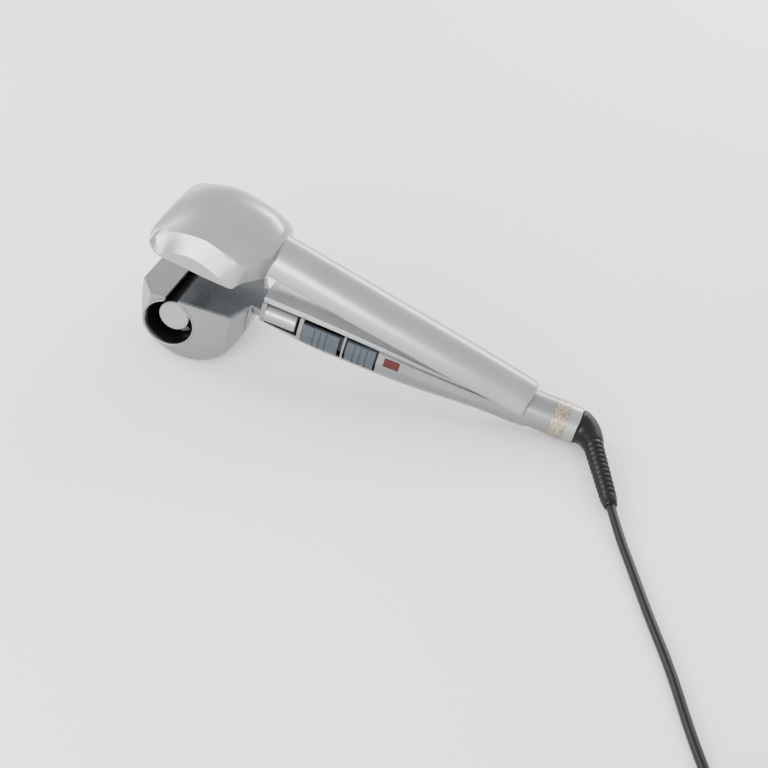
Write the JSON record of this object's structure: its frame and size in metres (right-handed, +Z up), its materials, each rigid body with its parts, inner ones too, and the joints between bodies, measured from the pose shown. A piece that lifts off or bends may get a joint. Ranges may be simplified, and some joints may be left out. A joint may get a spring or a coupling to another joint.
{
  "type": "automatic hair curler",
  "caption": "Corded automatic hair curler with sprung handles, a round head with a curl chamber and strand slot, slide switches and a ribbed cord relief.",
  "frame": {"origin": "on the surface it lies on, under the middle of the tool without its cord", "axes": "+X from the head to the tail, +Y to the far side, +Z up"},
  "size_m": [0.5038, 0.3185, 0.1026],
  "materials": {
    "silver_shell": "satin silver",
    "white_cover": "gloss light grey",
    "grey_slide": "satin dark grey",
    "dark_track": "matt",
    "side_bar_silver": "satin silver",
    "red_lens": "translucent red",
    "dark_pad": "matt",
    "liner_steel": "dark",
    "barrel_ceramic": "matt ceramic",
    "gear_plastic": "matt",
    "steel": "machined",
    "bracket_plate": "matt",
    "board_green": "satin",
    "black_plastic": "matt",
    "copper_lead": "matt",
    "band_steel": "textured",
    "ring_silver": "satin silver",
    "cord_rubber": "satin black",
    "blade_brass": "plated"
  },
  "bodies": {
    "base": {"lower_shell": "silver_shell", "head_deck": "silver_shell", "nose_ramp": "silver_shell", "arm_cover": "white_cover", "chamber_liner": "liner_steel", "heated_barrel": "barrel_ceramic", "barrel_cap": "barrel_ceramic", "heater_core": "barrel_ceramic", "thermal_fuse": "steel", "idler_pins": "steel", "drive_motor": "steel", "motor_bracket": "bracket_plate", "barrel_bracket": "bracket_plate", "bracket_screws": "steel", "control_board": "board_green", "board_screws": "steel", "timer_switch": "black_plastic", "heat_switch": "black_plastic", "main_chip": "black_plastic", "buzzer": "black_plastic", "closing_switch": "black_plastic", "slider_track": "dark_track", "indicator_lens": "red_lens", "indicator_led": "red_lens", "side_bar": "side_bar_silver", "power_leads": "copper_lead", "hinge_block": "bracket_plate", "hinge_pin": "steel", "cover_screws": "steel", "opening_spring": "steel", "metal_band": "band_steel", "end_ring": "ring_silver", "swivel_contact": "black_plastic"},
    "lid": {"upper_shell": "silver_shell", "upper_liner": "white_cover", "strand_pad": "dark_pad", "hinge_bracket": "steel", "yoke_screws": "steel"},
    "rotor": {"rotor_ring": "gear_plastic"},
    "upper_gear": {"upper_idler": "gear_plastic"},
    "lower_gear": {"lower_idler": "gear_plastic"},
    "pinion": {"motor_pinion": "gear_plastic"},
    "timer_knob": {"timer_slider": "grey_slide"},
    "heat_knob": {"heat_slider": "grey_slide"},
    "plunger": {"switch_plunger": "black_plastic"},
    "cord_swivel": {"cord_elbow": "cord_rubber", "strain_relief": "cord_rubber", "cord": "cord_rubber", "cord_coil": "cord_rubber", "cord_tie": "cord_rubber", "plug_body": "cord_rubber", "plug_blades": "blade_brass"}
  },
  "joints": [
    {"name": "jaw_hinge", "type": "hinge", "parent": "base", "child": "lid", "pos_m": [0.09079, 0, 0.01749], "axis": [0, -1, 0], "range_deg": [0, 9.4], "stiffness_Nm_per_rad": 1, "springref_deg": -14.32, "deforming": ["opening_spring"]},
    {"name": "rotor_spin", "type": "hinge", "parent": "base", "child": "rotor", "pos_m": [-0.11495, 0.019, 0.02553], "axis": [0, -1, 0], "continuous": true},
    {"name": "upper_gear_spin", "type": "hinge", "parent": "base", "child": "upper_gear", "pos_m": [-0.09434, 0.019, 0.02961], "axis": [0, -1, 0], "continuous": true},
    {"name": "lower_gear_spin", "type": "hinge", "parent": "base", "child": "lower_gear", "pos_m": [-0.09927, 0.019, 0.01156], "axis": [0, -1, 0], "continuous": true},
    {"name": "pinion_spin", "type": "hinge", "parent": "base", "child": "pinion", "pos_m": [-0.08955, 0.019, 0.01861], "axis": [0, -1, 0], "continuous": true},
    {"name": "timer_slide", "type": "slide", "parent": "base", "child": "timer_knob", "axis": [0.992, 0, -0.1263], "range_m": [0, 0.0022]},
    {"name": "heat_slide", "type": "slide", "parent": "base", "child": "heat_knob", "axis": [0.992, 0, -0.1263], "range_m": [-0.0011, 0.0011]},
    {"name": "plunger_press", "type": "slide", "parent": "base", "child": "plunger", "axis": [-0.1263, 0, -0.992], "range_m": [0, 0.0008], "stiffness_N_per_m": 120, "springref_m": -0.001},
    {"name": "cord_turn", "type": "hinge", "parent": "base", "child": "cord_swivel", "pos_m": [0.13483, 0, 0.01189], "axis": [0.992, 0, -0.1263], "continuous": true}
  ],
  "couplings": [
    {"joint": "upper_gear_spin", "follows": "rotor_spin", "ratio": -2},
    {"joint": "lower_gear_spin", "follows": "rotor_spin", "ratio": -2},
    {"joint": "pinion_spin", "follows": "rotor_spin", "ratio": 2.8}
  ]
}
